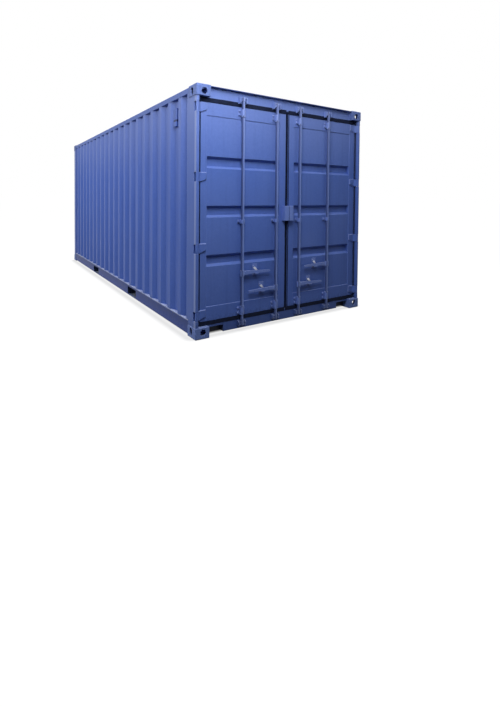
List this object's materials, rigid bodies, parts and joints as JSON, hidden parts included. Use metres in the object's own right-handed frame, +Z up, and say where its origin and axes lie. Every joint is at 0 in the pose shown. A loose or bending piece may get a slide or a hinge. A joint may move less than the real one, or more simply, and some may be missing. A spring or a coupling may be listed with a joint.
{
  "type": "shipping container",
  "caption": "Steel dry freight container with folded sheet walls, slotted corner fittings, fork pockets and two hinged rear doors with locking rods.",
  "frame": {"origin": "on the ground below the middle of the container's plan", "axes": "+X along the length towards the doors, +Y towards the right-hand side as seen facing the doors, +Z up"},
  "size_m": [6.058, 2.438, 2.591],
  "materials": {
    "blue_paint": "worn semi-gloss paint",
    "underside_coat": "matt protective coat",
    "plywood": "oiled boards",
    "rubber": "matt",
    "bare_steel": "worn bare metal"
  },
  "bodies": {
    "root": {"rear_top_fitting_left": "blue_paint", "rear_bottom_fitting_left": "blue_paint", "rear_top_fitting_right": "blue_paint", "rear_bottom_fitting_right": "blue_paint", "front_top_fitting_left": "blue_paint", "front_bottom_fitting_left": "blue_paint", "front_top_fitting_right": "blue_paint", "front_bottom_fitting_right": "blue_paint", "rear_post_left": "blue_paint", "front_post_left": "blue_paint", "top_side_rail_left": "blue_paint", "bottom_side_rail_left": "blue_paint", "side_panel_left": "blue_paint", "rear_post_right": "blue_paint", "front_post_right": "blue_paint", "top_side_rail_right": "blue_paint", "bottom_side_rail_right": "blue_paint", "side_panel_right": "blue_paint", "front_top_rail": "blue_paint", "front_bottom_rail": "blue_paint", "front_panel": "blue_paint", "roof_panel": "blue_paint", "floor": "plywood", "cross_members": "underside_coat", "fork_pockets": "underside_coat", "door_header": "blue_paint", "door_sill": "blue_paint", "ventilators": "blue_paint", "cam_keepers": "blue_paint"},
    "left_door": {"left_door_frame": "blue_paint", "left_door_panel": "blue_paint", "left_door_seal": "rubber", "left_door_hinges": "blue_paint", "left_rod_guides": "blue_paint", "left_handle_retainers": "blue_paint", "left_lock_box": "blue_paint"},
    "left_outer_rod": {"left_outer_rod": "blue_paint"},
    "left_outer_handle": {"left_outer_handle": "blue_paint"},
    "left_outer_catch": {"left_outer_catch": "bare_steel"},
    "left_inner_rod": {"left_inner_rod": "blue_paint"},
    "left_inner_handle": {"left_inner_handle": "blue_paint"},
    "left_inner_catch": {"left_inner_catch": "bare_steel"},
    "right_door": {"right_door_frame": "blue_paint", "right_door_panel": "blue_paint", "right_door_seal": "rubber", "right_door_hinges": "blue_paint", "right_rod_guides": "blue_paint", "right_handle_retainers": "blue_paint", "right_lock_box": "blue_paint"},
    "right_outer_rod": {"right_outer_rod": "blue_paint"},
    "right_outer_handle": {"right_outer_handle": "blue_paint"},
    "right_outer_catch": {"right_outer_catch": "bare_steel"},
    "right_inner_rod": {"right_inner_rod": "blue_paint"},
    "right_inner_handle": {"right_inner_handle": "blue_paint"},
    "right_inner_catch": {"right_inner_catch": "bare_steel"}
  },
  "joints": [
    {"name": "left_door_swing", "type": "hinge", "parent": "root", "child": "left_door", "pos_m": [3.008, -1.197, 1.3], "axis": [0, 0, -1], "range_deg": [0, 260]},
    {"name": "left_outer_rod_turn", "type": "hinge", "parent": "left_door", "child": "left_outer_rod", "pos_m": [3.004, -0.64, 1.3], "axis": [0, 0, 1], "range_deg": [-100, 0]},
    {"name": "left_outer_handle_lift", "type": "hinge", "parent": "left_outer_rod", "child": "left_outer_handle", "pos_m": [3.004, -0.585, 0.627], "axis": [-1, 0, 0], "range_deg": [-25, 0]},
    {"name": "left_outer_catch_swing", "type": "hinge", "parent": "left_door", "child": "left_outer_catch", "pos_m": [2.9725, -0.47, 0.682], "axis": [-1, 0, 0], "range_deg": [-100, 0]},
    {"name": "left_inner_rod_turn", "type": "hinge", "parent": "left_door", "child": "left_inner_rod", "pos_m": [3.004, -0.175, 1.3], "axis": [0, 0, -1], "range_deg": [-100, 0]},
    {"name": "left_inner_handle_lift", "type": "hinge", "parent": "left_inner_rod", "child": "left_inner_handle", "pos_m": [3.004, -0.23, 0.418], "axis": [1, 0, 0], "range_deg": [-25, 0]},
    {"name": "left_inner_catch_swing", "type": "hinge", "parent": "left_door", "child": "left_inner_catch", "pos_m": [2.9725, -0.38, 0.473], "axis": [-1, 0, 0], "range_deg": [-100, 0]},
    {"name": "right_door_swing", "type": "hinge", "parent": "root", "child": "right_door", "pos_m": [3.008, 1.197, 1.3], "axis": [0, 0, 1], "range_deg": [0, 260]},
    {"name": "right_outer_rod_turn", "type": "hinge", "parent": "right_door", "child": "right_outer_rod", "pos_m": [3.004, 0.64, 1.3], "axis": [0, 0, -1], "range_deg": [-100, 0]},
    {"name": "right_outer_handle_lift", "type": "hinge", "parent": "right_outer_rod", "child": "right_outer_handle", "pos_m": [3.004, 0.585, 0.627], "axis": [1, 0, 0], "range_deg": [-25, 0]},
    {"name": "right_outer_catch_swing", "type": "hinge", "parent": "right_door", "child": "right_outer_catch", "pos_m": [2.9725, 0.43, 0.682], "axis": [-1, 0, 0], "range_deg": [-100, 0]},
    {"name": "right_inner_rod_turn", "type": "hinge", "parent": "right_door", "child": "right_inner_rod", "pos_m": [3.004, 0.175, 1.3], "axis": [0, 0, 1], "range_deg": [-100, 0]},
    {"name": "right_inner_handle_lift", "type": "hinge", "parent": "right_inner_rod", "child": "right_inner_handle", "pos_m": [3.004, 0.23, 0.418], "axis": [-1, 0, 0], "range_deg": [-25, 0]},
    {"name": "right_inner_catch_swing", "type": "hinge", "parent": "right_door", "child": "right_inner_catch", "pos_m": [2.9725, 0.34, 0.473], "axis": [-1, 0, 0], "range_deg": [-100, 0]}
  ]
}
